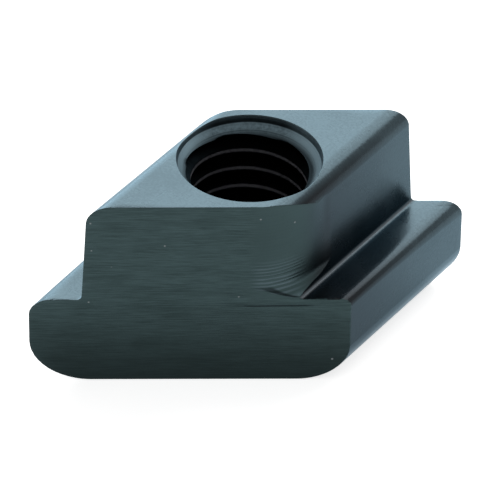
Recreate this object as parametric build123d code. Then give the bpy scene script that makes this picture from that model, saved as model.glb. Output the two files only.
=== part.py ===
"""Rhombic T-slot nut, M8 for a 10 mm slot: one piece of T-section steel bar, cut off obliquely.

The nut is dropped into the slot with its two cut faces along the slot's walls, and turned
clockwise until the bar's own direction lies along the slot. Its two ledges then bear up
against the slot's lips. The neck's two obtuse corners are turned to a cylinder about the
thread, so that they pass between the slot's walls.

Frame: +Z up along the thread, +X across the bar, +Y along the bar, and so along the slot.
The origin is on the thread's axis, at the foot's flat underside. Millimetres and degrees.
"""
import os
from math import cos, radians, sin, tan

from build123d import *

# The slot that the nut is for, and the room that the nut has in it
slot_width = 10.0  # between the slot's walls
neck_clearance = 0.15  # left by the neck at the ledges when the nut is locked
cut_clearance = 0.7  # left by the two cut faces when the nut is dropped in
corner_clearance = 0.6  # left by the neck's two turned corners as the nut is turned
lock_angle = 54.0  # the turn that locks the nut, from a cut face to the bar's own direction

# The bar's section
foot_height = 5.7  # from the underside up to the two ledges
neck_height = 6.45  # from the ledges up to the top
neck_draft = 2.4  # by which each flank of the neck leans in, towards the top
ledge_width = 2.4  # from the neck's flank to the foot's side
foot_edge_radius = 2.4  # along the foot's two bottom edges
ledge_edge_radius = 0.5  # along each ledge's outer edge
neck_root_radius = 0.25  # hollow corner between the neck and the ledges
neck_edge_radius = 1.15  # along the neck's two top edges

# Where the two obtuse corners of the neck are turned
corner_floor_height = 0.12  # from the ledges up to where the turning stops
corner_root_radius = 0.9  # hollow corner at the foot of the turned part

# The tapped hole, right through
thread_diameter = 8.0
thread_pitch = 1.25
countersink_oversize = 0.25  # a mouth is this much wider than the thread
countersink_angle = 90.0  # the cone's full angle

# What follows from them
neck_width = slot_width - neck_clearance
neck_top_width = neck_width - 2 * neck_height * tan(radians(neck_draft))
cut_width = slot_width - cut_clearance  # square across the nut, between its cut faces
corner_radius = (slot_width - corner_clearance) / 2
foot_width = neck_width + 2 * ledge_width
height = foot_height + neck_height
length = (cut_width + foot_width * cos(radians(lock_angle))) / sin(radians(lock_angle))
drill_radius = (thread_diameter - thread_pitch) / 2
mouth_radius = (thread_diameter + countersink_oversize) / 2

# How far a cutting shape runs on past the steel
overrun = 1.0


def section_bar():
    """The bar as it is drawn: a T outline, rounded at each corner, run along Y past both cuts."""
    right_half = [
        (foot_width / 2, 0, foot_edge_radius),
        (foot_width / 2, foot_height, ledge_edge_radius),
        (neck_width / 2, foot_height, neck_root_radius),
        (neck_top_width / 2, height, neck_edge_radius),
    ]
    left_half = [(-x, z, radius) for x, z, radius in reversed(right_half)]
    corners = right_half + left_half
    outline = FilletPolyline(
        [(x, z) for x, z, _ in corners],
        radius=[radius for _, _, radius in corners],
        close=True,
    )
    return extrude(Plane.XZ * make_face(outline), length / 2 + overrun, both=True)


def oblique_slab():
    """The space between the two cut faces, which stand at the lock angle to the bar."""
    slab = Box(2 * (length + overrun), cut_width, 2 * (height + overrun))
    return Rot(0, 0, 90 - lock_angle) * slab


def corner_swarf():
    """What turning takes off one obtuse corner of the neck, down to just above the ledge.

    Its section is all that lies outside the corner radius, with the root radius at its floor.
    It sweeps about the thread, from the middle of the cut face round to the neck's flank.
    """
    floor = foot_height + corner_floor_height
    top = height + overrun
    section = FilletPolyline(
        (corner_radius, floor),
        (foot_width, floor),
        (foot_width, top),
        (corner_radius, top),
        radius=[corner_root_radius, 0, 0, 0],
        close=True,
    )
    return revolve(Plane.XZ * make_face(section), Axis.Z, revolution_arc=-lock_angle)


def tapping_hole():
    """The hole as drilled for the thread, with a cone at each mouth that runs past the face."""
    flare = tan(radians(countersink_angle / 2))
    cone_depth = (mouth_radius - drill_radius) / flare
    wide = mouth_radius + overrun * flare
    half_section = Polyline(
        (0, -overrun),
        (wide, -overrun),
        (drill_radius, cone_depth),
        (drill_radius, height - cone_depth),
        (wide, height + overrun),
        (0, height + overrun),
        close=True,
    )
    return revolve(Plane.XZ * make_face(half_section), Axis.Z)


def t_slot_nut():
    """The bar between its two cuts, with both obtuse corners turned and the hole through it."""
    blank = section_bar() & oblique_slab()
    turned = blank - corner_swarf() - Rot(0, 0, 180) * corner_swarf()
    return turned - tapping_hole()


nut = t_slot_nut()
nut.label = "t_slot_nut"
os.makedirs("parts", exist_ok=True)
export_step(nut, "parts/t_slot_nut.step")
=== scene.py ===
"""Rhombic T-slot nut, M8 for a 10 mm slot, in blackened steel: its looks and its setting.

The steel is one closed surface about the thread. Its columns stand in half planes through the
thread's axis, and its rows run round the nut: out over the top, down the wall, out over the
ledge, down the foot, back under it and up the tapped hole.

Frame: +Z up along the thread, +X across the bar, +Y along the bar, and so along the slot.
Shapes are worked out in millimetres and put into the mesh in metres.
"""
from functools import reduce
from math import atan2, cos, pi, radians, sin, sqrt, tan

import bmesh
import bpy
import numpy as np
from mathutils import Matrix, Vector


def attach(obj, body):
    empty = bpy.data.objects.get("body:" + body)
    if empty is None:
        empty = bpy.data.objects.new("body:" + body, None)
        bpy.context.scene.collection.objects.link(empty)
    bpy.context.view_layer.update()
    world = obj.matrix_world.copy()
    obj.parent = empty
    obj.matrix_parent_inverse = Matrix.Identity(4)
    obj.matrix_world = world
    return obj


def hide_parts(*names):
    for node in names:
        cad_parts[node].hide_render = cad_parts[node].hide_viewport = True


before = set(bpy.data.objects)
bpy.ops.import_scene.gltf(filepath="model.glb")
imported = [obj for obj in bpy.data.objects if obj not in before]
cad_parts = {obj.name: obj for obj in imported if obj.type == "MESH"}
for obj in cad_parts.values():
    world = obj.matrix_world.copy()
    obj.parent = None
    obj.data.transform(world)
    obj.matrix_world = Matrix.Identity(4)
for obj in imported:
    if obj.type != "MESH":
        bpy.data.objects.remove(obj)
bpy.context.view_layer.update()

MM = 0.001

# The nut, as it is drawn
lock_angle = radians(54.0)  # from a cut face to the bar's own direction
cut_half = 4.65  # from the thread's axis to a cut face
neck_half = 4.925  # from the bar's middle plane to a flank of the neck, at the ledges
neck_draft = radians(2.4)  # by which each flank leans in, towards the top
foot_half = 7.325  # from the bar's middle plane to a side of the foot
height = 12.15
ledge_level = 5.7
neck_edge = 1.15  # radius of the neck's two top edges
neck_root = 0.25  # radius of the hollow corner between the neck and a ledge
ledge_edge = 0.5  # radius of a ledge's outer edge at the foot's obtuse corners
worn_ledge_edge = 1.0  # and at its acute ones
foot_edge = 2.4  # radius of the foot's bottom edge
worn_foot_edge = 2.85  # the same on the other side of the bar, at -X
turned_radius = 4.7  # of the neck's two obtuse corners, about the thread
turned_floor = ledge_level + 0.12  # where the turning stops
turned_root = 0.9  # radius of the hollow corner down there
turned_fading = radians(-4.0)  # angle from +X at which the turned part starts to fade out
turned_end = radians(14.0)  # and at which it has gone into the flank

# The tapped hole
minor_radius = 3.32
major_radius = 4.0
pitch = 1.25
mouth_radius = 4.125
mouth_step = 0.42  # depth of the steep wall at the upper mouth, over the cone
mouth_lean = tan(radians(12.0))  # by which that wall closes in
thread_start = 0.7  # depth under the top at which the thread's groove starts
thread_full = 1.15  # and at which it has its full depth
thread_turn = 0.4  # share of a turn by which the thread is turned about its axis

# Its finer details
ring_spacing = 0.24  # between the turned corners' rings
ring_depth = 0.024
edge_break = 0.05  # what tumbling takes off a sharp edge
fine_break = 0.015  # and off the low edge where the turned part meets the flank
fine_break_room = 0.05  # from the turned part to the flank, where the fine break is whole
sharp_angle = radians(32.0)  # between two faces, from which their edge is shaded as an edge
beside_edge = edge_break * np.array([0.15, 0.4, 0.7, 1.0, 1.4])  # rows and columns by an edge


def flank_at(level):
    """How far the flank is from the middle plane at a level."""
    return neck_half - (level - ledge_level) * tan(neck_draft)


# The neck's rounded edge and its hollow root: where the flank meets them, and their middles
edge_level = height - neck_edge
edge_middle = flank_at(edge_level) - neck_edge / cos(neck_draft)
edge_turn = pi / 2 - neck_draft
root_level = ledge_level + neck_root
root_middle = flank_at(root_level) + neck_root / cos(neck_draft)

# The foot's corners at +X, along the bar: the obtuse one and the acute one
foot_corners = (foot_half * cos(lock_angle) + np.array([-cut_half, cut_half])) / sin(lock_angle)

# The first column's angle, which is an acute corner's
first_angle = atan2(-(foot_half + cut_half * cos(lock_angle)) / sin(lock_angle), cut_half) - lock_angle

# The upper cone's radius, if it went on up to the top, and the shares of a pitch that the
# thread's root, each flank and its crest take up
cone_radius = mouth_radius + mouth_step * (1 - mouth_lean)
root_share = 1 / 8
flank_share = (major_radius - minor_radius) * tan(pi / 6) / pitch
crest_share = 1 - root_share - 2 * flank_share


# ---------------------------------------------------------------- the steel's shape

def across(phi):
    """Share of a radius at angle phi that counts across the bar: the size of its cosine, kept
    a hair over zero."""
    return np.maximum(np.abs(np.cos(phi)), 1e-9)


def square_to_cut(phi):
    """Share of a radius at angle phi that counts square to the cut faces: the size of the
    cosine of the angle from the cut face's normal."""
    return across(phi + lock_angle)


def foot_rounding(side):
    """Radius of the foot's bottom edge on the side of the bar that has that sign."""
    return np.where(side < 0, worn_foot_edge, foot_edge)


def ledge_rounding(phi):
    """Radius of the ledge's outer edge at angle phi. It grows from the obtuse corner to the
    acute one by w w, where w is the share of the way between them along the bar."""
    obtuse, acute = foot_corners / foot_half
    w = np.clip((np.tan(phi) - obtuse) / (acute - obtuse), 0, 1)
    return ledge_edge + (worn_ledge_edge - ledge_edge) * w * w


def smooth_share(value, start, end):
    """3 w w - 2 w w w, where w runs evenly from 0 to 1 as the value goes from start to end."""
    w = np.clip((value - start) / (end - start), 0, 1)
    return w * w * (3 - 2 * w)


def turned_wall(phi, level):
    """Radius of a turned corner, which near its end fades into the flank by a smooth share."""
    angle = np.mod(phi + lock_angle, pi) - lock_angle
    flank = flank_at(level) / across(phi)
    faded = smooth_share(angle, turned_fading, turned_end)
    return np.minimum(turned_radius + (flank - turned_radius) * faded, flank)


def upper_opening(depth):
    """Radius of the upper mouth at a depth: a steep wall, and a cone of 45 degrees under it."""
    return np.minimum(mouth_radius - depth * mouth_lean, cone_radius - depth)


def both_below(a, b, e):
    """Depths of two faces joined: the larger of a and b, and where both lie within e of zero,
    e less than the distance from the point at -e, -e, which is a quarter circle of radius e."""
    corner = np.hypot(np.maximum(a + e, 0), np.maximum(b + e, 0))
    return np.minimum(-e, np.maximum(a, b)) + corner


def either_below(a, b, radius):
    """Depths of two shapes joined into one, with a hollow quarter circle in the corner between."""
    corner = np.hypot(np.maximum(radius - a, 0), np.maximum(radius - b, 0))
    return np.maximum(radius, np.minimum(a, b)) - corner


def rounded_corner(u, v, radius):
    """Signed distance to a corner at u = 0, v = 0 with that radius, below zero in the steel."""
    u, v = u + radius, v + radius
    corner = np.hypot(np.maximum(u, 0), np.maximum(v, 0))
    return corner + np.minimum(np.maximum(u, v), 0) - radius


def neck_depth(q, z):
    """Signed distance to the neck's outline at q from the middle plane and level z: the flank
    and the top, and between them the distance from the middle of the rounded edge."""
    u, v = q - edge_middle, z - edge_level
    flank = u * cos(neck_draft) + v * sin(neck_draft) - neck_edge
    in_corner = (u > 0) & (v > 0) & (v * cos(neck_draft) > u * sin(neck_draft))
    return np.where(in_corner, np.hypot(u, v) - neck_edge, np.maximum(flank, v - neck_edge))


def swarf_depth(r, phi, z):
    """Signed distance to what is turned off a corner, above zero inside it: outside the turned
    wall and over the turned floor, with the turned root between them."""
    return either_below(r - turned_wall(phi, np.minimum(z, edge_level)), z - turned_floor,
                        turned_root)


def height_over_steel(p, turned):
    """Signed distance of points p from the outside of the steel, below zero inside it.

    The bar's outline is a neck and a foot, each with rounded corners, joined by a hollow root.
    Where it is turned it is also within the turned radius or under the turned floor. The bar
    is kept between the two cut faces and clear of the hole's two mouths, with each edge
    between them broken."""
    x, y, z = p
    r, phi, q = np.hypot(x, y), np.arctan2(y, x), np.abs(x)
    foot = rounded_corner(q - foot_half, z - ledge_level, ledge_rounding(phi))
    bar = either_below(neck_depth(q, z), foot, neck_root)
    wall = turned_wall(phi, np.minimum(z, edge_level))
    met = np.clip((wall * across(phi) - edge_middle) / neck_edge, 0, 1)
    room = flank_at(z) / across(phi) - wall
    hair = 1e-6
    low_break = np.clip(room / fine_break_room, 0, 1) * fine_break + hair
    high_break = np.maximum(edge_break * np.sqrt(1 - met**2), low_break)
    breaks = np.where(z > edge_level, high_break, low_break)
    bar = np.where(turned, both_below(bar, swarf_depth(r, phi, z), breaks), bar)
    bar = np.maximum(bar, rounded_corner(q - foot_half, -z, foot_rounding(x)))
    steel = both_below(bar, r * square_to_cut(phi) - cut_half, edge_break)
    upper = np.minimum(mouth_radius - (height - z) * mouth_lean - r,
                       (cone_radius - height + z - r) / sqrt(2))
    lower = (mouth_radius - z - r) / sqrt(2)
    return both_below(steel, np.where(z > height / 2, upper, lower), edge_break / 2)


def broken_edges(p, turned):
    """The points p moved onto the steel with its edges broken: four steps down the slope of
    the signed distance, which leave a point that is on a plain face where it is. The slope is
    1 there, and is nowhere taken as less than a half."""
    probe = 1e-4
    for _ in range(4):
        d = height_over_steel(p, turned)
        slope = np.stack([
            (height_over_steel(p + probe * axis[:, None, None], turned)
             - height_over_steel(p - probe * axis[:, None, None], turned)) / (2 * probe)
            for axis in np.eye(3)])
        p = p - d * slope / np.maximum((slope**2).sum(0), 0.5**2)
    return p


def directions():
    """The columns' angles, from one acute corner of the foot once round to it again, and
    whether each is in a turned part. The turned part's end has a column of each kind.

    First come the corners themselves, then columns at set shares of the edge break on both
    sides of each, then those where a cut face crosses a rounding, at even steps of the
    rounding's own angle, and last an even filling. Half a turn is worked out, and repeated.
    Angles here are taken from the front cut face's normal."""
    along_cut = np.array([sin(lock_angle), cos(lock_angle)])
    normal = np.array([cos(lock_angle), -sin(lock_angle)])
    turned_start = sqrt(turned_radius**2 - cut_half**2)

    def along_face(x):
        """How far along the front cut face the point is that is x across the bar."""
        return (x - cut_half * cos(lock_angle)) / sin(lock_angle)

    def at(x):
        """Angle of the point of the front cut face that is x across the bar."""
        return np.arctan2(along_face(np.asarray(x, float)), cut_half)

    def angle_of(xy):
        """Angle of points in the plan."""
        return np.arctan2(xy @ along_cut, xy @ normal)

    edges = [at(-foot_half), np.arctan2(turned_start, cut_half), at(foot_half),
             lock_angle + turned_end, 0.0]
    both_sides = np.concatenate([-beside_edge, beside_edge])
    beside = []
    for x in (-foot_half, foot_half):
        corner = cut_half * normal + along_face(x) * along_cut
        beside += list(angle_of(corner + both_sides[:, None] * along_cut))
        beside += list(angle_of(corner + both_sides[:, None] * np.array([0.0, 1.0])))
    beside += list(np.arctan2(turned_start + both_sides, cut_half))
    beside += list(np.arctan2(turned_start, cut_half) + both_sides / turned_radius)
    spacing, margin = 0.022, 0.15  # over the leaning flank, which crosses these columns
    leaning = np.arange(along_face(-neck_half) - margin,
                        along_face(-flank_at(edge_level)) + margin, spacing)
    beside += list(np.arctan2(leaning, cut_half))

    turn_steps, fill_steps = 12, 126  # to a quarter turn of a rounding, and to half a turn
    turn = np.linspace(0, pi / 2, turn_steps + 1)
    curve = []
    for side, ledge in ((-1, worn_ledge_edge), (1, ledge_edge)):
        curve += list(at(side * (edge_middle + neck_edge * np.sin(turn))))
        curve += list(at(side * (foot_half - foot_rounding(side) * (1 - np.sin(turn)))))
        curve += list(at(side * (foot_half - ledge + ledge * np.sin(turn))))
    for side in (-1, 1):
        curve += list(at(side * (root_middle - neck_root * np.cos(turn[::2]))))
    curve += list(np.arccos(cut_half / (turned_radius + turned_root * (1 - np.cos(turn)))))

    first = at(-foot_half)
    fill = np.linspace(first, first + pi, fill_steps + 1)[:-1]
    kept = np.array([])
    for group, least_gap in ((edges, 1e-4), (beside, 6e-4), (curve, 4e-3), (fill, 1.1e-2)):
        for angle in np.mod(np.array(group) - first, pi) + first:
            apart = np.abs(kept - angle)
            if not len(kept) or np.minimum(apart, pi - apart).min() > least_gap:
                kept = np.append(kept, angle)
    half = np.sort(np.append(kept, lock_angle + turned_end))
    turned = (half >= 0) & (half <= lock_angle + turned_end + 1e-9)
    turned[np.flatnonzero(turned)[-1]] = False
    angles = np.concatenate([half, half + pi, half[:1] + 2 * pi])
    return angles - lock_angle, np.concatenate([turned, turned, turned[:1]])


def graded(length, count, start=False, end=False):
    """Distances from 0 to length, one column for each length: at set shares of the edge break
    from an end that is an edge, and count even steps between."""
    near = beside_edge[:, None] * np.minimum(1, length / (4 * edge_break))
    low = near[-1] if start else 0 * length
    high = length - (near[-1] if end else 0 * length)
    even = low + (high - low) * np.linspace(0, 1, count + 1)[:, None]
    parts = []
    if start:
        parts += [0 * length[None], near[:-1]]
    parts.append(even)
    if end:
        parts += [length - near[-2::-1], length[None]]
    return np.concatenate(parts)


def halved(low, high, inside):
    """The value between low and high up to which the test inside holds, by halving the space
    between them over and over."""
    for _ in range(40):
        middle = (low + high) / 2
        held = inside(middle)
        low, high = np.where(held, middle, low), np.where(held, high, middle)
    return (low + high) / 2


def upper_mouth(phi):
    """Depth at which the upper mouth's wall meets the top or the neck's rounded edge."""
    c = across(phi)

    def over_steel(depth):
        """True where the mouth's wall, at that depth, is over the steel's own top there."""
        beyond = np.clip(upper_opening(depth) * c - edge_middle, 0, neck_edge)
        return edge_level + np.sqrt(neck_edge**2 - beyond**2) < height - depth

    return halved(0 * phi, np.full_like(phi, mouth_step), over_steel)


def outside(phi, turned):
    """Rows over the outside, as radius and level, from the upper mouth to the lower one.

    Each run is a straight or a quarter circle of the bar's outline, measured across the bar,
    or about the thread in the turned part. It ends early where it meets the cut face, and the
    runs after it then start and end at that point, so that an edge is always a row."""
    c = across(phi)
    reach = cut_half / square_to_cut(phi)
    limit = np.where(turned, np.minimum(turned_wall(phi, edge_level), reach), reach)
    foot_wall = turned_wall(phi, turned_floor + turned_root)
    mouth_depth = upper_mouth(phi)
    mouth = upper_opening(mouth_depth)
    rows_r, rows_z = [], []

    def add(r, z):
        """Rows of points, at a radius and a level each."""
        shape = np.broadcast_shapes(np.shape(r), np.shape(z))
        rows_r.append(np.broadcast_to(r, shape))
        rows_z.append(np.broadcast_to(z, shape))

    def arc(r, middle, radius, most):
        """Angle of a rounding at which it has come out to the radius r."""
        return np.minimum(np.arcsin(np.clip((r * c - middle) / radius, 0, 1)), most)

    def run(curve, total, count):
        """Rows along a curve that widens all the way, as far as the cut face."""
        nonlocal ended
        shortest = 0.01
        part = halved(0 * phi, total + 0 * phi, lambda t: curve(t)[0] < reach)
        part = np.where(part < shortest, 0, part)
        t = graded(part, count)
        share = 1 - t / np.maximum(part, shortest)
        (r, z), (r_first, z_first) = curve(t), curve(0 * phi)
        r_last, z_last = rows_r[-1][-1], rows_z[-1][-1]
        add(np.where(ended, r_last, r + (r_last - r_first) * share),
            np.where(ended, z_last, z + (z_last - z_first) * share))
        ended = ended | (curve(total + 0 * phi)[0] > reach)

    # the top, and the neck's rounded edge
    plain = np.maximum(mouth, np.minimum(edge_middle / c, limit))
    add(mouth + graded(plain - mouth, 6, start=True, end=True),
        np.where(plain > mouth, height, height - mouth_depth))
    from_arc = arc(mouth, edge_middle, neck_edge, edge_turn)
    to_arc = np.maximum(from_arc, arc(limit, edge_middle, neck_edge, edge_turn))
    turn = from_arc + graded((to_arc - from_arc) * neck_edge, 8, start=True, end=True) / neck_edge
    add(np.minimum((edge_middle + neck_edge * np.sin(turn)) / c, limit),
        edge_level + neck_edge * np.cos(turn))

    # down the flank, the turned wall or the cut face, to where the turned root meets the flank
    def in_flank(turn):
        """True where the turned part's hollow root, at that angle, is still inside the flank."""
        z = turned_floor + turned_root * (1 - np.sin(turn))
        drop = np.clip(root_level - z, 0, neck_root)
        flank = np.where(z > root_level, flank_at(z),
                         root_middle - np.sqrt(neck_root**2 - drop**2))
        return (foot_wall + turned_root * (1 - np.cos(turn))) * c < flank

    last = halved(0 * phi, np.full_like(phi, pi / 2), in_flank)
    met = np.where(turned, turned_floor + turned_root * (1 - np.sin(last)), 0)
    met = np.where(turned, met, met.max())
    shoulder = rows_z[-1][-1]
    low = np.where(turned, turned_floor + turned_root, met)
    z = shoulder - graded(shoulder - low, 12, start=True)
    wall = np.where(turned, turned_wall(phi, np.minimum(z, edge_level)), flank_at(z) / c)
    add(np.minimum(wall, reach), z)
    wall_end = rows_r[-1][-1]
    ended = wall_end > reach - 1e-9

    # the turned root, the flank below it, the hollow root, the ledge and its rounded edge
    run(lambda t: (np.where(turned, foot_wall + turned_root * (1 - np.cos(t / turned_root)), wall_end),
                   np.where(turned, turned_floor + turned_root * (1 - np.sin(t / turned_root)), met)),
        np.where(turned, last * turned_root, 0), 8)
    least_drop = 0.02  # under which the flank is left out below the turned root
    bend = root_level - neck_root * sin(neck_draft)
    bend = np.where(met - bend > least_drop, bend, met)
    run(lambda t: (flank_at(met - t) / c, met - t), met - bend, 2)
    first = np.arcsin(np.clip((root_level - bend) / neck_root, 0, 1))
    run(lambda t: ((root_middle - neck_root * np.cos(first + t / neck_root)) / c,
                   root_level - neck_root * np.sin(first + t / neck_root)),
        (pi / 2 - first) * neck_root, 5)
    ledge = ledge_rounding(phi)
    run(lambda t: (root_middle / c + t, ledge_level + 0 * t),
        (foot_half - ledge - root_middle) / c, 8)
    run(lambda t: ((foot_half - ledge + ledge * np.sin(t / ledge)) / c,
                   ledge_level - ledge + ledge * np.cos(t / ledge)),
        pi / 2 * ledge, 6)

    # down the foot's side or the cut face, round the foot's lower edge and along the underside
    side, level = np.minimum(rows_r[-1][-1], reach), rows_z[-1][-1]
    edge = foot_rounding(np.cos(phi))
    turn_end = arc(side, foot_half - edge, edge, pi / 2)
    low = edge - edge * np.cos(turn_end)
    add(side, level - graded(level - low, 9, start=True, end=True))
    turn = turn_end - graded(turn_end * edge, 10, start=True) / edge
    add(np.minimum((foot_half - edge + edge * np.sin(turn)) / c, side), edge - edge * np.cos(turn))
    flat = np.minimum((foot_half - edge) / c, side)
    add(flat - graded(flat - mouth_radius, 7, start=True, end=True), 0 * flat)
    return np.concatenate(rows_r), np.concatenate(rows_z)


def thread_groove(share):
    """Depth of the thread at a share of a pitch: a crest flat, a flank out at 30 degrees, a
    root flat and a flank back in."""
    share = np.mod(share, 1)
    out = np.clip((share - crest_share) / flank_share, 0, 1)
    back = np.clip((share - crest_share - flank_share - root_share) / flank_share, 0, 1)
    return (major_radius - minor_radius) * (out - back)


def hole(phi):
    """Rows up the hole, as radius and level, from the lower mouth to the upper one.

    The rows climb one pitch in a turn, so that each follows the thread. The wall is the larger
    of the thread's radius and the cone's at that level. Under the upper mouth the groove grows
    from nothing to its full depth by a smooth share."""
    marks = np.concatenate([np.array([0, 0.5, 1]) * crest_share,
                            crest_share + flank_share * np.array([1, 2, 3]) / 3,
                            crest_share + flank_share + root_share * np.array([0.5, 1]),
                            1 - flank_share * np.array([2, 1]) / 3])
    turns = np.arange(-3, int(height / pitch) + 3)
    climb = (phi - first_angle) / (2 * pi) + thread_turn
    low = mouth_radius - major_radius
    under = max(mouth_step, cone_radius - major_radius)
    high = height - under
    z = np.clip(((turns[:, None] + marks[None]).reshape(-1, 1) + climb) * pitch, low, high)
    cone = np.maximum(mouth_radius - z, upper_opening(height - z))
    groove = thread_groove(z / pitch - climb) * smooth_share(height - z, thread_start, thread_full)
    r = np.maximum(minor_radius + groove, cone)
    r = np.where(z <= low, major_radius, np.where(z >= high, upper_opening(under), r))
    steps = np.linspace(0, 1, 4)[:, None]
    lower_z = steps[:-1] * low + 0 * phi
    to_mouth = np.linspace(0, 1, 7)[1:, None]
    depth = np.concatenate([under - (under - mouth_step) * steps[1:] + 0 * phi,
                            mouth_step + (upper_mouth(phi) - mouth_step) * to_mouth])
    return (np.concatenate([mouth_radius - lower_z, r, upper_opening(depth)]),
            np.concatenate([lower_z, z, height - depth]))


def outer_finish(points, turned):
    """Which finish each face between the points has on the outside: 0 the bar's skin, and 1 the
    cut faces and turned corners. A face is theirs by how near its middle is to them, and by a
    turned corner their finish reaches on over the broken edge."""
    x, y, z = (points[:, :-1, :-1] + points[:, 1:, :-1] + points[:, 1:, 1:] + points[:, :-1, 1:]) / 4
    r, angle = np.hypot(x, y), np.arctan2(y, x)
    by_turned = turned[:-1] | turned[1:]
    on_turned = by_turned & (np.abs(swarf_depth(r, angle, z)) < 0.5 * edge_break)
    within = np.where(by_turned, 1.2, 0.3) * edge_break
    on_cut = r * square_to_cut(angle) > cut_half - within
    return (on_turned | on_cut).astype(np.int32)


def nut_body():
    """The nut's mesh: the outside's rows and the hole's rows over the same columns, closed by
    merging the points that fall together at the mouths, at the runs of no length and where
    the last column meets the first."""
    phi, turned = directions()
    outer_r, outer_z = outside(phi, turned)
    outer = np.stack([outer_r * np.cos(phi), outer_r * np.sin(phi), outer_z + 0 * phi])
    outer = broken_edges(outer, turned)
    hole_r, hole_z = hole(phi)
    inner = np.stack([hole_r * np.cos(phi), hole_r * np.sin(phi), hole_z])
    points = np.concatenate([outer, inner[:, 1:-1], outer[:, :1]], axis=1)
    rows, columns = points.shape[1:]
    index = np.arange(rows * columns).reshape(rows, columns)
    faces = np.stack([index[:-1, :-1], index[1:, :-1], index[1:, 1:], index[:-1, 1:]], -1)

    mesh = bpy.data.meshes.new("t_slot_nut_body")
    mesh.from_pydata(points.reshape(3, -1).T * MM, [], faces.reshape(-1, 4))
    finish = outer_finish(points, turned)
    finish[outer.shape[1] - 1:] = 2  # the hole's rows
    mesh.polygons.foreach_set("material_index", finish.reshape(-1))

    one_point, no_edge = 2e-7, 1e-8  # metres under which points are one, and an edge is none
    work = bmesh.new()
    work.from_mesh(mesh)
    bmesh.ops.remove_doubles(work, verts=work.verts, dist=one_point)
    bmesh.ops.dissolve_degenerate(work, edges=work.edges, dist=no_edge)
    for face in work.faces:
        face.smooth = True
    work.to_mesh(mesh)
    work.free()
    mesh.set_sharp_from_angle(angle=sharp_angle)
    made = bpy.data.objects.new("t_slot_nut_body", mesh)
    bpy.context.scene.collection.objects.link(made)
    return made


body = nut_body()


# ---------------------------------------------------------------- finishes

class Nodes:
    """A material's nodes, added one after another. Each call sets inputs from numbers, colours
    or other nodes' outputs, and returns the new node's first output."""

    def __init__(self, name):
        self.material = bpy.data.materials.new(name)
        self.material.use_nodes = True
        self.tree = self.material.node_tree
        self.shader = self.tree.nodes["Principled BSDF"]

    def put(self, socket, value):
        """Sets a socket to a number or colour, or links another node's output to it."""
        if isinstance(value, bpy.types.NodeSocket):
            self.tree.links.new(value, socket)
        else:
            socket.default_value = value

    def add(self, kind, inputs=(), output=0, **settings):
        """A node of a kind, with inputs given in order or by name."""
        made = self.tree.nodes.new("ShaderNode" + kind)
        for key, value in settings.items():
            setattr(made, key, value)
        for key, value in (inputs.items() if isinstance(inputs, dict) else enumerate(inputs)):
            self.put(made.inputs[key], value)
        return made.outputs[output]

    def math(self, operation, *values):
        """One step of arithmetic, by the operation's name."""
        return self.add("Math", values, operation=operation)

    def plus(self, *values):
        """All the values added up."""
        return reduce(lambda first, second: self.math("ADD", first, second), values)

    def times(self, *values):
        """All the values multiplied."""
        return reduce(lambda first, second: self.math("MULTIPLY", first, second), values)

    def minus(self, first, second):
        """The first value less the second."""
        return self.math("SUBTRACT", first, second)

    def size(self, value):
        """A value without its sign."""
        return self.math("ABSOLUTE", value)

    def length(self, first, second):
        """Length of a line from its two parts, square to each other."""
        return self.math("SQRT", self.plus(self.times(first, first), self.times(second, second)))

    def ramp(self, value, low, high, to_low=0.0, to_high=1.0):
        """value carried smoothly from low..high to to_low..to_high, and held beyond."""
        inputs = {"Value": value, "From Min": low, "From Max": high,
                  "To Min": to_low, "To Max": to_high}
        return self.add("MapRange", inputs, interpolation_type="SMOOTHSTEP")

    def mix(self, share, first, second):
        """A colour between two, by share."""
        made = self.tree.nodes.new("ShaderNodeMix")
        made.data_type = "RGBA"
        for key, value in ((0, share), (6, first), (7, second)):
            self.put(made.inputs[key], value)
        return made.outputs[2]

    def noise(self, *places, detail=3.0, roughness=0.55):
        """Fractal noise between 0 and 1. Each of three places is a pair, of a coordinate in
        millimetres and a number of spots in a millimetre, or a number that picks a pattern."""
        scaled = [self.times(*place) if isinstance(place, tuple) else place for place in places]
        return self.add("TexNoise", {"Vector": self.add("CombineXYZ", scaled), "Scale": 1.0,
                                     "Detail": detail, "Roughness": roughness})

    def places(self):
        """Object coordinates in millimetres: across the bar, along it and up, and then along the
        front cut face and square into it."""
        self.spot = self.add("VectorMath", [self.add("TexCoord", output=3), (1 / MM,) * 3],
                             operation="MULTIPLY")
        split = self.tree.nodes.new("ShaderNodeSeparateXYZ")
        self.put(split.inputs[0], self.spot)
        x, y, z = split.outputs
        along = self.plus(self.times(x, sin(lock_angle)), self.times(y, cos(lock_angle)))
        into = self.minus(self.times(y, sin(lock_angle)), self.times(x, cos(lock_angle)))
        return x, y, z, along, into

    def nicks(self, size, share):
        """1 in a few small spots, which are the middles of some random cells, and 0 elsewhere."""
        cells_per_mm, softness = 0.9, 0.02
        cell = self.tree.nodes.new("ShaderNodeTexVoronoi")
        self.put(cell.inputs["Vector"], self.spot)
        cell.inputs["Scale"].default_value = cells_per_mm
        chosen = self.ramp(self.add("SeparateXYZ", [cell.outputs["Color"]]),
                           1 - share, 1 - share + softness)
        return self.times(chosen, self.ramp(cell.outputs["Distance"], size, size * 0.5))

    def finish(self, colour, roughness, heights):
        """The steel's colour, roughness and relief. heights are pairs of a height between 0 and
        1 and its size in millimetres."""
        relief = self.plus(*[self.times(pattern, size * MM) for pattern, size in heights])
        bump = self.add("Bump", {"Strength": 1.0, "Distance": 1.0, "Height": relief})
        self.put(self.shader.inputs["Base Color"], colour)
        self.put(self.shader.inputs["Roughness"], roughness)
        self.put(self.shader.inputs["Normal"], bump)
        self.shader.inputs["Metallic"].default_value = 1.0
        self.shader.inputs["Specular Tint"].default_value = (0.75, 0.90, 1.0, 1)
        return self.material


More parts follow.
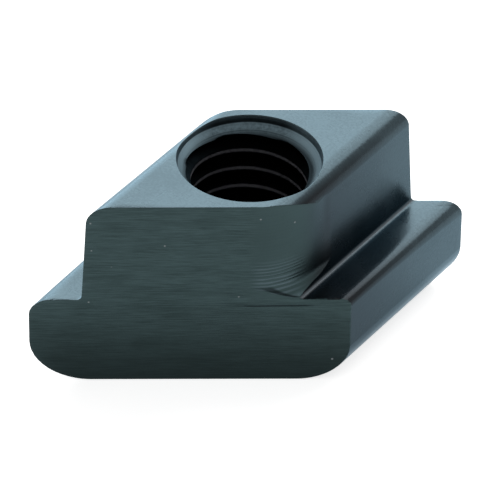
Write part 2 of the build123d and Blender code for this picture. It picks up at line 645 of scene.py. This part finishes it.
def tone(lightness, colour=(0.61, 0.87, 1.0)):
    """A colour of the blackened steel, whose largest share is the lightness."""
    return tuple(lightness * share for share in colour) + (1.0,)


def skin(n, x, y, z):
    """The bar's own skin: its colour, with soft blotches and a fine grain, its roughness, with
    faint streaks along the bar, and its relief. Painted shade darkens one side of the bar, most
    of all towards its middle, and stops short of the top. The hollow root has a painted highlight."""
    dark, light = tone(0.060), tone(0.080)
    # the colours of the painted shade on one side of the bar and of the painted highlight along the
    # hollow root
    painted_shade_tone, painted_highlight = tone(0.018, (0.86, 0.92, 1.0)), tone(0.10, (0.78, 0.90, 1.0))
    blotch = n.noise((x, 0.35), (y, 0.35), (z, 0.35), detail=4.0)
    streak = n.noise((x, 2.2), (y, 0.12), (z, 2.2))
    grain = n.noise((x, 7.0), (y, 7.0), (z, 7.0), detail=2.0)
    shade = n.plus(n.times(blotch, 0.55), n.times(grain, 0.45))
    colour = n.mix(n.ramp(shade, 0.35, 0.65), dark, light)

    # painted shade over the +X side, growing towards -Y and fading out near the top
    painted_shade_share = n.times(n.ramp(x, 3.5, 4.5), n.ramp(z, height - 0.1, height - 0.6),
                   n.ramp(y, 11.0, -2.0))
    colour = n.mix(painted_shade_share, colour, painted_shade_tone)

    # painted highlight: a thin lighter line along the hollow root between each flank and its ledge
    painted_highlight_inset = 0.12  # out from the flank and up from the ledge
    from_root = n.length(n.minus(n.size(x), neck_half + painted_highlight_inset),
                         n.minus(z, ledge_level + painted_highlight_inset))
    colour = n.mix(n.ramp(from_root, 0.11, 0.05), colour, painted_highlight)
    roughness = n.plus(n.ramp(blotch, 0.3, 0.7, 0.20, 0.28), n.times(streak, 0.06))
    return colour, roughness, [(grain, 0.005), (blotch, 0.006), (streak, 0.003)]


def rolled_skin():
    """The bar's own skin, with a few small bright nicks."""
    n = Nodes("rolled_skin")
    x, y, z, _, _ = n.places()
    colour, roughness, relief = skin(n, x, y, z)
    nick = n.nicks(size=0.06, share=0.05)
    colour = n.mix(n.times(nick, 0.6), colour, tone(0.25, (0.9, 0.97, 1.0)))
    return n.finish(colour, roughness, relief + [(nick, -0.008)])


def cut_steel():
    """A cut face and the turned corner beside it: level saw lines on the one, rings about the
    thread on the other, which are deepest towards the ledge, a long scratch low on the front
    cut face, nicks, painted shade along the curve where the turning stops, and painted shade that
    darkens the steel towards the underside. At its far end the turned corner takes on the look
    of the bar's skin."""
    dark, light = tone(0.040, (0.6, 0.97, 1.0)), tone(0.073, (0.6, 0.96, 1.0))
    # the painted shade's colour, and the colour of the rings' crests
    painted_shade_tone, ring_crest = tone(0.015, (0.65, 1.0, 1.0)), tone(0.125)
    # the scratch's colour, the painted shade's colour along the turned root, and the nicks' colour
    scratched, root_painted_shade, bright = tone(0.012), tone(0.008), tone(0.25, (0.88, 0.97, 1.0))
    n = Nodes("cut_steel")
    x, y, z, along, into = n.places()

    # how far the place is from the middle of its cut face, towards the turned corner, and
    # whether it is in the turned part
    side = n.times(along, n.math("SIGN", n.times(into, -1.0)))
    turned = n.times(n.ramp(side, -0.2, 0.7), n.math("GREATER_THAN", z, turned_floor - 0.06))
    flat = n.minus(1.0, turned)

    # the saw's lines, which waver a little, and the steel's own grain and blotches
    wave = n.plus(z, n.times(n.noise((along, 0.3), (z, 0.3), 0.0, detail=1.0), 0.12))
    fine = n.noise((along, 0.6), (wave, 13.0), 1.0, detail=5.0, roughness=0.7)
    broad = n.noise((along, 0.13), (wave, 1.8), 5.0, detail=3.0, roughness=0.6)
    grain = n.noise((x, 8.0), (y, 8.0), (z, 8.0), detail=2.0)
    blotch = n.noise((along, 0.35), (z, 0.45), 9.0, detail=3.0)

    # how far the place is outside the turned wall and its hollow root, which is a quarter circle
    drop = n.minus(1.0, n.math("DIVIDE", n.minus(z, turned_floor), turned_root))
    drop = n.math("MINIMUM", n.math("MAXIMUM", drop, 0.0), 1.0)
    flare = n.minus(1.0, n.math("SQRT", n.minus(1.0, n.times(drop, drop))))
    off = n.minus(n.minus(n.length(x, y), turned_radius), n.times(flare, turned_root))

    # the rings, even and with a wandering feed, and how deep they are
    feed = n.noise((side, 0.15), (z, 1.6), 3.0, detail=3.0, roughness=0.6)
    ring = n.math("SINE", n.plus(n.times(z, 2 * pi / ring_spacing), n.times(feed, 9.0)))
    ring = n.plus(n.times(ring, 0.3), feed)
    deep = n.times(turned, n.ramp(z, 8.6, 7.4, 0.04, 1.0), n.ramp(side, 1.8, 3.6, 1.0, 0.0),
                   n.ramp(off, -0.14, -0.06))

    # painted shade along the curve where the turned root runs out on the cut face
    root_painted_shade_share = n.times(n.ramp(n.size(off), 0.11, 0.03), n.ramp(z, 6.7, 6.3),
                     n.ramp(n.size(into), cut_half - 0.14, cut_half - 0.05),
                     n.times(turned, n.ramp(z, turned_floor, turned_floor + 0.06)))

    # the scratch, level and nearly straight
    scratch_level = 5.32
    scratch = n.times(n.ramp(n.size(n.minus(wave, scratch_level)), 0.06, 0.02),
                      n.math("LESS_THAN", into, 0.0),
                      n.times(n.ramp(along, -0.6, 0.0), n.ramp(along, 3.9, 3.0)))
    nick = n.nicks(size=0.075, share=0.16)

    streaks = n.times(n.plus(n.times(fine, 0.6), n.times(broad, 0.2)), flat)
    shade = n.plus(streaks, n.times(turned, 0.4), n.times(blotch, 0.2))
    colour = n.mix(n.ramp(shade, 0.36, 0.64), dark, light)
    # painted shade: darker towards the underside
    colour = n.mix(n.ramp(z, 6.5, -0.5, 0.0, 0.85), colour, painted_shade_tone)
    colour = n.mix(n.times(scratch, 0.85), colour, scratched)
    colour = n.mix(n.times(n.ramp(ring, 0.4, 0.75), n.times(deep, 0.6)), colour, ring_crest)
    # painted shade along the curve where the turned root runs out
    colour = n.mix(n.times(root_painted_shade_share, 0.8), colour, root_painted_shade)
    colour = n.mix(n.times(nick, 0.5), colour, bright)
    roughness = n.ramp(blotch, 0.3, 0.7, 0.36, 0.46)

    skin_colour, skin_roughness, _ = skin(n, x, y, z)
    far_end = n.times(turned, n.ramp(side, 2.6, 4.5))
    colour = n.mix(far_end, colour, skin_colour)
    roughness = n.plus(roughness, n.times(far_end, n.minus(skin_roughness, roughness)))
    return n.finish(colour, roughness, [
        (n.times(fine, flat), 0.012), (n.times(broad, flat), 0.006), (grain, 0.003),
        (scratch, -0.035), (nick, -0.01), (n.times(ring, deep), ring_depth)])


def tapped_hole():
    """The hole: its two mouths, bright from the cutter, with painted highlights towards the two
    ends of the cut face and painted shade deeper down, and with fine rings about the thread, and
    between them the thread, painted near-black as painted shade in the deep hole, with painted
    highlights along its crests."""
    bright = (0.92, 0.92, 1.0)
    n = Nodes("tapped_hole")
    x, y, z, along, _ = n.places()
    # share towards the two ends of the cut face, where painted highlights go
    ends = n.ramp(n.size(along), 1.8, 3.7)
    out = n.length(x, y)
    depth = n.minus(height, z)
    grain = n.noise((x, 5.0), (y, 5.0), (z, 5.0), detail=3.0)
    rings = n.noise((out, 9.0), (z, 9.0), 0.0, detail=3.0)

    # the mouths: as far as the place is no further out than the mouth's own face
    upper = n.math("MINIMUM", n.minus(mouth_radius, n.times(depth, mouth_lean)),
                   n.minus(cone_radius, depth))
    opening = n.math("MAXIMUM", upper, n.minus(mouth_radius, z))
    on_mouth = n.ramp(n.minus(out, opening), 0.06, 0.02)
    shade = n.plus(n.times(grain, 0.4), n.times(rings, 0.6))
    mouth = n.mix(n.ramp(shade, 0.35, 0.65), tone(0.07), tone(0.17))
    # painted highlight towards the two ends of the cut face, then painted shade deeper in the cone
    mouth = n.mix(n.times(ends, 0.7), mouth, tone(0.27))
    mouth = n.mix(n.ramp(depth, 0.62, 0.95, 0.0, 0.85), mouth, tone(0.012))
    # the steep wall: painted shade deeper down, and painted highlight towards the two ends
    wall = n.mix(n.ramp(depth, 0.0, mouth_step - 0.05), tone(0.065), tone(0.018))
    wall = n.mix(n.times(ends, 0.9), wall, tone(0.22))
    mouth = n.mix(n.ramp(depth, mouth_step + 0.04, mouth_step - 0.02), mouth, wall)

    # the thread: how far the place is from the middle of a crest, in shares of a pitch
    turns = n.times(n.math("ARCTAN2", y, x), -1 / (2 * pi))
    climbed = n.plus(n.times(z, 1 / pitch), turns, first_angle / (2 * pi) - thread_turn)
    from_crest = n.size(n.minus(n.math("FRACT", climbed), crest_share / 2))
    crest = n.times(n.ramp(from_crest, 0.12, 0.03),
                    n.ramp(out, minor_radius + 0.03, minor_radius + 0.01),
                    n.ramp(grain, 0.25, 0.6, 0.6, 1.0))
    # painted highlight along the crests, brightest towards the two ends of the cut face
    painted_highlight = n.mix(ends, tone(0.15, bright), tone(0.27, bright))
    # the thread itself is painted near-black: painted shade in the deep hole
    colour = n.mix(on_mouth, n.mix(crest, tone(0.0005), painted_highlight), mouth)
    roughness = n.plus(n.ramp(grain, 0.3, 0.7, 0.42, 0.55), n.times(crest, 0.2))
    return n.finish(colour, roughness, [(grain, 0.003), (n.times(rings, on_mouth), 0.018)])


for finish in (rolled_skin, cut_steel, tapped_hole):
    body.data.materials.append(finish())

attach(body, "root")
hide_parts("t_slot_nut")


# ---------------------------------------------------------------- floor, lights, camera

def to_frame(along, into, up):
    """A direction or place given along the cut face, square into it and up, in the row frame."""
    return Vector((along * sin(lock_angle) - into * cos(lock_angle),
                   along * cos(lock_angle) + into * sin(lock_angle), up))


def seen_share(tree):
    """1 for rays that see a colour straight, mirrored or through glass, and 0 for light's own."""
    path = tree.nodes.new("ShaderNodeLightPath")
    share = path.outputs["Is Camera Ray"]
    for name in ("Is Glossy Ray", "Is Transmission Ray"):
        larger = tree.nodes.new("ShaderNodeMath")
        larger.operation = "MAXIMUM"
        tree.links.new(share, larger.inputs[0])
        tree.links.new(path.outputs[name], larger.inputs[1])
        share = larger.outputs[0]
    return share


def soft_light(name, place, aim, width, depth, power):
    """A rectangular lamp at a place, facing a point, both given along, into and up."""
    lamp = bpy.data.lights.new(name, "AREA")
    lamp.shape = "RECTANGLE"
    lamp.size, lamp.size_y, lamp.energy = width, depth, power
    stand = bpy.data.objects.new(name, lamp)
    stand.location = to_frame(*place)
    facing = to_frame(*aim) - stand.location
    stand.rotation_euler = facing.to_track_quat("-Z", "Y").to_euler()
    scene.collection.objects.link(stand)


scene = bpy.context.scene
scene.view_settings.view_transform = "Standard"

# The floor lies just under the nut, so that the two faces don't fall together
floor_half = 1.5
floor_level = -0.01 * MM
floor_mesh = bpy.data.meshes.new("studio_floor")
corners = [(-floor_half, -floor_half, floor_level), (floor_half, -floor_half, floor_level),
           (floor_half, floor_half, floor_level), (-floor_half, floor_half, floor_level)]
floor_mesh.from_pydata(corners, [], [(0, 1, 2, 3)])
floor = bpy.data.objects.new("studio_floor", floor_mesh)
scene.collection.objects.link(floor)

paper_glow = 0.72  # on top of the lamps' light, for rays that see the floor
paper = Nodes("studio_floor_white")
paper.shader.inputs["Base Color"].default_value = (0.85, 0.85, 0.85, 1)
paper.shader.inputs["Roughness"].default_value = 0.9
paper.shader.inputs["Specular IOR Level"].default_value = 0.0
paper.shader.inputs["Emission Color"].default_value = (1, 1, 1, 1)
paper.put(paper.shader.inputs["Emission Strength"],
          paper.times(seen_share(paper.tree), paper_glow))
floor_mesh.materials.append(paper.material)

world_light, world_seen = 0.45, 1.0  # strength of the room as light, and where it is seen
world = bpy.data.worlds.new("studio")
scene.world = world
world.use_nodes = True
background = world.node_tree.nodes["Background"]
background.inputs["Color"].default_value = (1, 1, 1, 1)
strength = world.node_tree.nodes.new("ShaderNodeMapRange")
strength.inputs["To Min"].default_value = world_light
strength.inputs["To Max"].default_value = world_seen
world.node_tree.links.new(seen_share(world.node_tree), strength.inputs["Value"])
world.node_tree.links.new(strength.outputs[0], background.inputs["Strength"])

middle = (0, 0, height / 2 * MM)
soft_light("soft_box_behind", (0.02, 0.42, 0.33), middle, width=0.5, depth=0.32, power=1.95)
soft_light("low_strip_behind", (-0.05, 0.5, 0.1), middle, width=0.5, depth=0.18, power=1.0)
soft_light("soft_box_right", (0.33, 0.26, 0.40), middle, width=0.24, depth=0.24, power=0.55)

# The camera's turn and height about the nut, its tilt, and the point that it looks at
camera_turn, camera_height, camera_roll = radians(1.458), radians(37.249), radians(0.772)
camera_distance = 295.01 * MM
looked_at = (-0.1975 * MM, 0.0, 6.023 * MM)
forward = to_frame(sin(camera_turn) * cos(camera_height), cos(camera_turn) * cos(camera_height),
                   -sin(camera_height))
right = to_frame(cos(camera_turn), -sin(camera_turn), 0)
up = right.cross(forward)
rolled_right = cos(camera_roll) * right + sin(camera_roll) * up
rolled_up = -sin(camera_roll) * right + cos(camera_roll) * up
camera = bpy.data.objects.new("camera", bpy.data.cameras.new("camera"))
camera.matrix_world = Matrix((rolled_right, rolled_up, -forward)).transposed().to_4x4()
camera.location = to_frame(*looked_at) - camera_distance * forward
camera.data.sensor_width = 36.0
camera.data.lens = 382.1
camera.data.clip_start = 0.01
scene.collection.objects.link(camera)
scene.camera = camera
